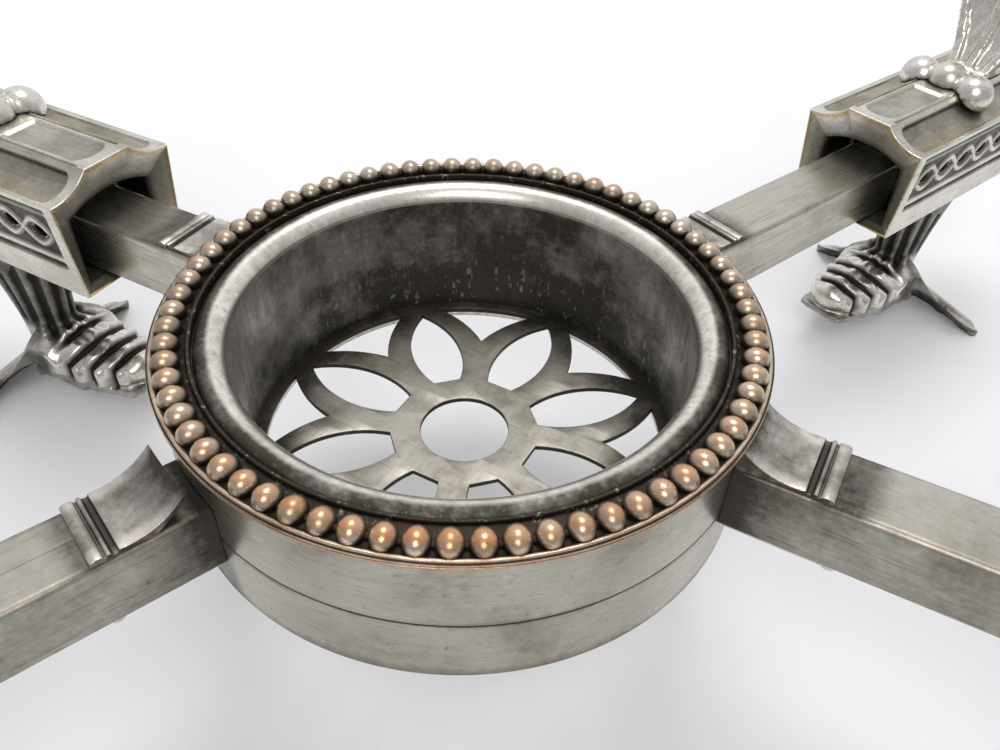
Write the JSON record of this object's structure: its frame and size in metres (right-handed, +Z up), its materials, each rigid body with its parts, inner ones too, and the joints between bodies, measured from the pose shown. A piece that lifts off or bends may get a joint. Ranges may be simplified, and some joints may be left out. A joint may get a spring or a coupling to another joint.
{
  "type": "dish cross",
  "caption": "Adjustable dish cross: lamp well with beaded border, crossed turning arms, sliding footed sleeves with leaf supports.",
  "frame": {"origin": "on the axis of the lamp well, at the level of the table", "axes": "+Z up along the well; +X along the upper pair of arms, towards the right front arm of the picture"},
  "size_m": [0.33, 0.3064, 0.0876],
  "materials": {
    "silver_plate": "silver plate on copper, drawn and burnished, lightly scratched",
    "worn_beading": "silver plate worn through to copper on the high points",
    "tarnished_plate": "silver plate darkened by heat and tarnish",
    "cast_plate": "cast and chased relief in silver plate, dark in the hollows"
  },
  "bodies": {
    "root": {"well_liner": "tarnished_plate", "beaded_border": "worn_beading", "upper_collar": "silver_plate", "rosette_grate": "tarnished_plate", "retaining_ring": "tarnished_plate", "arm_right_front": "silver_plate", "root_bracket_right_front": "silver_plate", "under_strap_right_front": "tarnished_plate", "end_cap_right_front": "silver_plate", "arm_left_back": "silver_plate", "root_bracket_left_back": "silver_plate", "under_strap_left_back": "tarnished_plate", "end_cap_left_back": "silver_plate"},
    "lower_cross": {"lower_collar": "silver_plate", "arm_right_back": "silver_plate", "root_bracket_right_back": "silver_plate", "under_strap_right_back": "tarnished_plate", "end_cap_right_back": "silver_plate", "arm_left_front": "silver_plate", "root_bracket_left_front": "silver_plate", "under_strap_left_front": "tarnished_plate", "end_cap_left_front": "silver_plate"},
    "slide_right_front": {"slide_sleeve_right_front": "cast_plate", "slide_guide_right_front": "tarnished_plate", "leg_right_front": "cast_plate", "dish_support_right_front": "cast_plate"},
    "slide_left_back": {"slide_sleeve_left_back": "cast_plate", "slide_guide_left_back": "tarnished_plate", "leg_left_back": "cast_plate", "dish_support_left_back": "cast_plate"},
    "slide_right_back": {"slide_sleeve_right_back": "cast_plate", "slide_guide_right_back": "tarnished_plate", "leg_right_back": "cast_plate", "dish_support_right_back": "cast_plate"},
    "slide_left_front": {"slide_sleeve_left_front": "cast_plate", "slide_guide_left_front": "tarnished_plate", "leg_left_front": "cast_plate", "dish_support_left_front": "cast_plate"}
  },
  "joints": [
    {"name": "lower_cross_turn", "type": "hinge", "parent": "root", "child": "lower_cross", "pos_m": [0, 0, 0.0373], "axis": [0, 0, 1], "range_deg": [-37, 82]},
    {"name": "slide_right_front_travel", "type": "slide", "parent": "root", "child": "slide_right_front", "axis": [1, 0, 0], "range_m": [-0.0346, 0.0097]},
    {"name": "slide_right_back_travel", "type": "slide", "parent": "lower_cross", "child": "slide_right_back", "axis": [0.3891, 0.9212, 0], "range_m": [-0.03825, 0.0066]},
    {"name": "slide_left_back_travel", "type": "slide", "parent": "root", "child": "slide_left_back", "axis": [-1, 0, 0], "range_m": [-0.0095, 0.0348]},
    {"name": "slide_left_front_travel", "type": "slide", "parent": "lower_cross", "child": "slide_left_front", "axis": [-0.3891, -0.9212, 0], "range_m": [-0.02915, 0.0157]}
  ]
}
